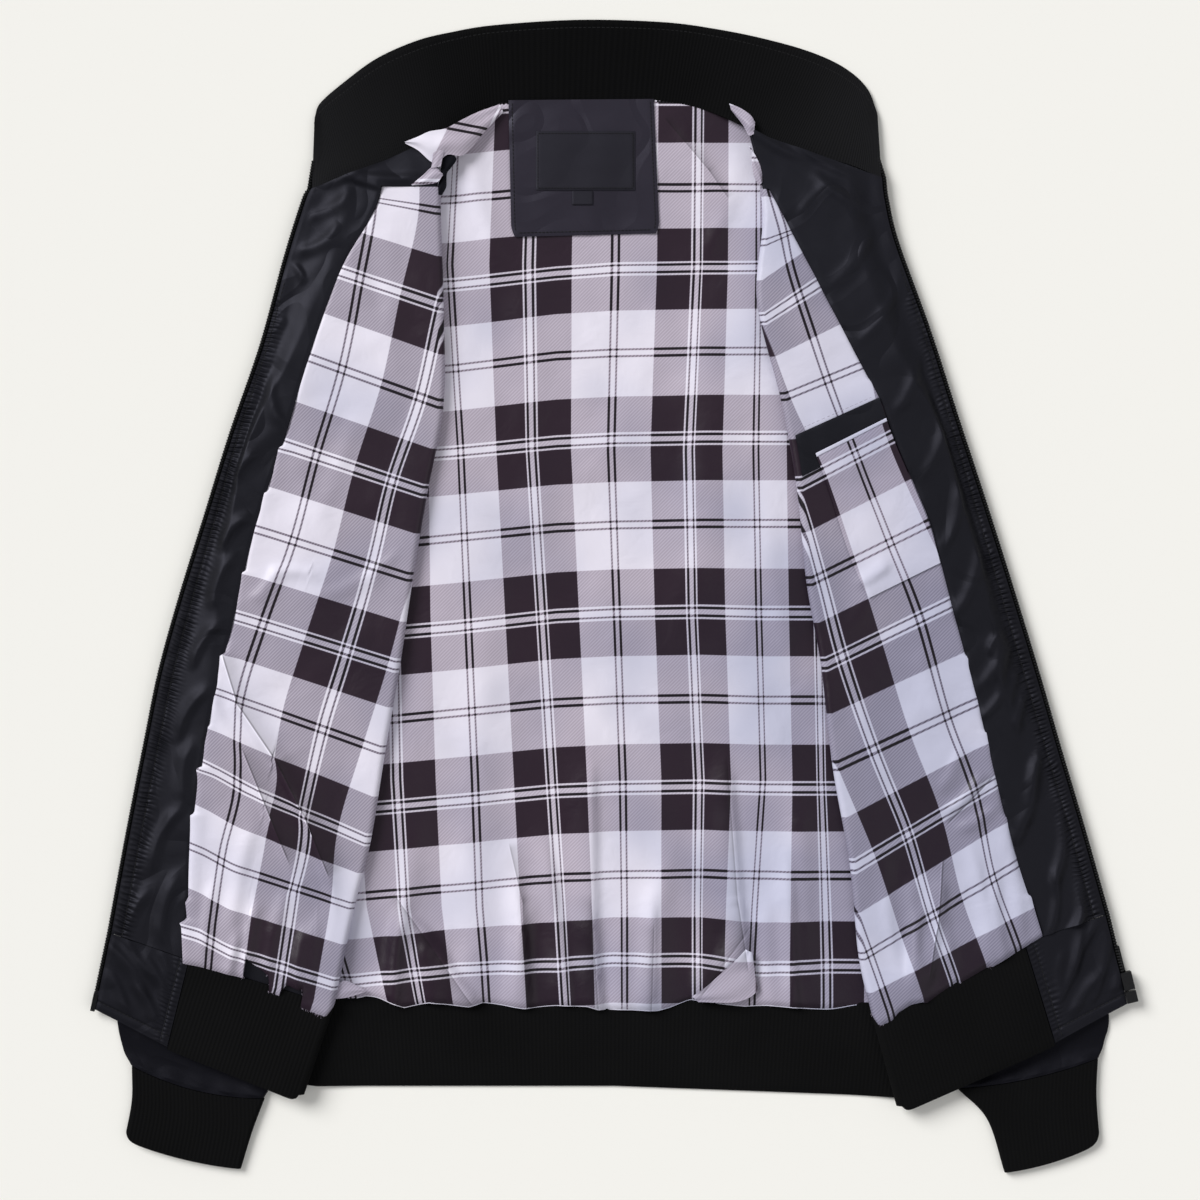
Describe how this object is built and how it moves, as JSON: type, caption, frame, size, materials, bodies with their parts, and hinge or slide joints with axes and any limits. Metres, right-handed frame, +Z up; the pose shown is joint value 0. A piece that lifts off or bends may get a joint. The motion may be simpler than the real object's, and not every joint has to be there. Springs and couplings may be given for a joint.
{
  "type": "bomber jacket",
  "caption": "Light bomber jacket laid open on its back: checked lining up, fronts folded out, ribbed collar, cuffs and hem, full-length front zip.",
  "frame": {"origin": "centre of the jacket's bounding box in plan, on the surface that it lies on", "axes": "+X to the viewer's right across the open jacket, +Y from the hem to the collar, +Z up, out of the lining"},
  "size_m": [0.7231, 0.7973, 0.0166],
  "materials": {
    "nylon": "smooth satin nylon, soft sheen, dark blue-black",
    "checked_lining": "woven check of lavender white and purple-black, light satin sheen",
    "rib_knit": "matt black rib knit",
    "satin_patch": "smooth black satin",
    "woven_label": "plain black woven label, left bare",
    "zip_teeth": "black moulded teeth on black tape",
    "black_metal": "black enamelled metal, semi-gloss"
  },
  "bodies": {
    "jacket": {"back_lining": "checked_lining", "back_shell": "nylon", "collar": "rib_knit", "cuff_left": "rib_knit", "cuff_right": "rib_knit", "front_facing_left": "nylon", "front_facing_right": "nylon", "front_lining_left": "checked_lining", "front_lining_right": "checked_lining", "front_shell_left": "nylon", "front_shell_right": "nylon", "hem_block_left": "nylon", "hem_block_right": "nylon", "hem_rib_back": "rib_knit", "hem_rib_left": "rib_knit", "hem_rib_right": "rib_knit", "neck_label": "woven_label", "neck_patch": "satin_patch", "neck_tuck_left": "checked_lining", "neck_tuck_right": "checked_lining", "pocket_band": "nylon", "pocket_patch": "checked_lining", "size_tab": "woven_label", "sleeve_left": "nylon", "sleeve_right": "nylon", "zip_box": "black_metal", "zip_chain_left": "zip_teeth", "zip_chain_right": "zip_teeth", "zip_pin": "black_metal", "zip_slider": "black_metal"},
    "pull": {"zip_pull": "black_metal"}
  },
  "joints": [
    {"name": "pull_hinge", "type": "hinge", "parent": "jacket", "child": "pull", "pos_m": [0.35297, -0.26599, 0.0019], "axis": [-0.9709, -0.2395, 0], "range_deg": [0, 170]}
  ]
}
